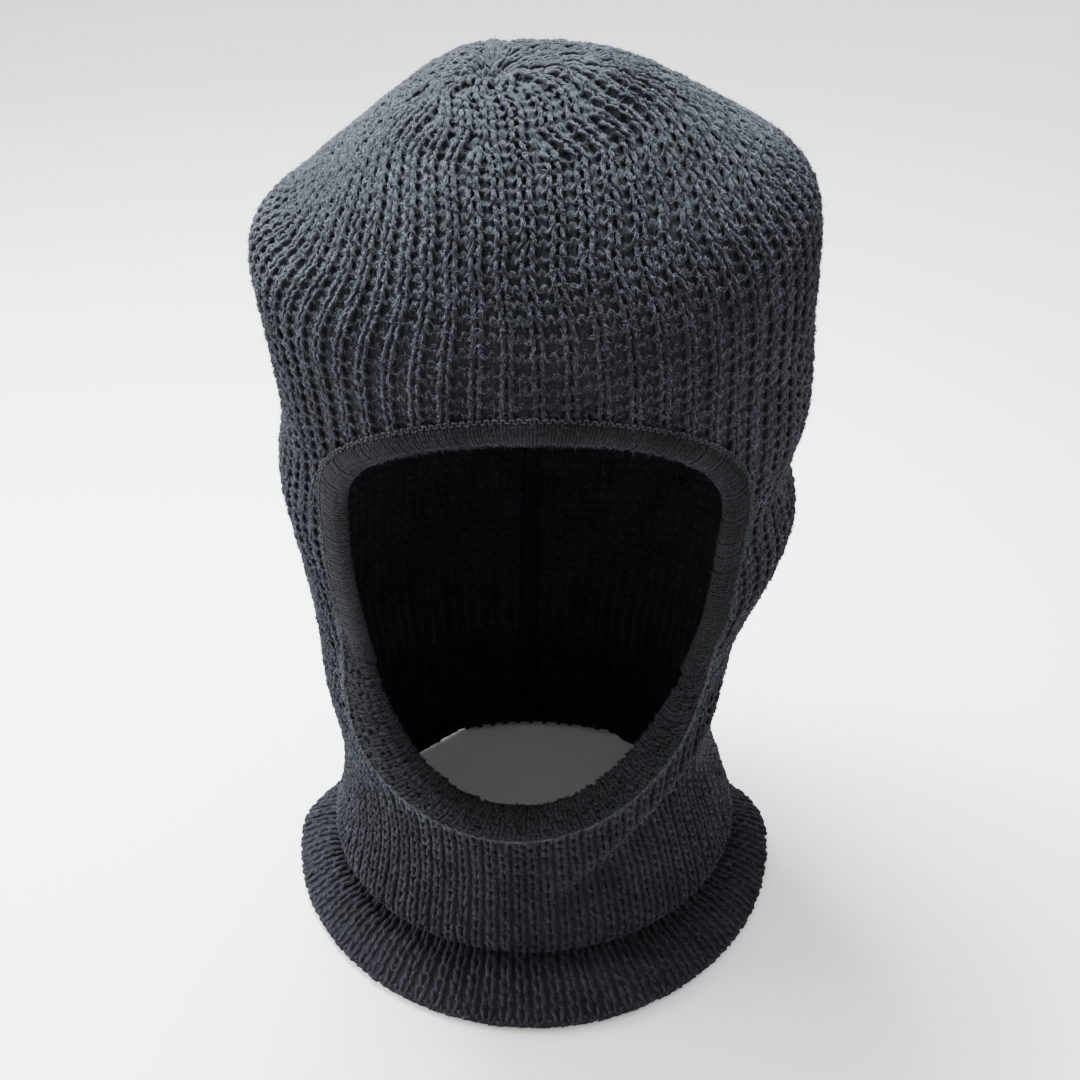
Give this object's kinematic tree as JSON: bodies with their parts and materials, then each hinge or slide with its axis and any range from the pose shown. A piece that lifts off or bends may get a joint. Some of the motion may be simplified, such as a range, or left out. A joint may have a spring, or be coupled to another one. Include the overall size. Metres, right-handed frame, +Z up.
{
  "type": "balaclava",
  "caption": "Knitted ribbed open-face balaclava in black yarn, gathered at the crown, with a turned-out lip under the chin and a splayed hem.",
  "frame": {"origin": "Centre of the footprint, on the surface the hem rests on.", "axes": "+Z up to the crown, -Y out of the face opening, +X to the wearer's left."},
  "size_m": [0.189, 0.1966, 0.3216],
  "materials": {
    "rib_knit_hood": "matte ribbed acrylic knit, stretched open, slightly fuzzy",
    "rib_knit_neck": "matte ribbed acrylic knit, relaxed and closed up",
    "overlock": "matte overlocked yarn with fine radial stitches",
    "sewing_thread": "slightly lighter chain-stitched thread"
  },
  "bodies": {
    "root": {"crown_knit": "rib_knit_hood", "hood_knit": "rib_knit_hood", "neck_rib": "rib_knit_neck", "hem_flare": "rib_knit_neck", "hem_start_edge": "rib_knit_neck", "face_band": "overlock", "face_band_stitching": "sewing_thread", "chin_roll": "rib_knit_neck", "chin_roll_stitching": "sewing_thread", "crown_gather_yarn": "overlock", "crown_knot": "overlock", "back_seam_hood": "overlock", "back_seam_neck": "overlock"}
  },
  "joints": []
}
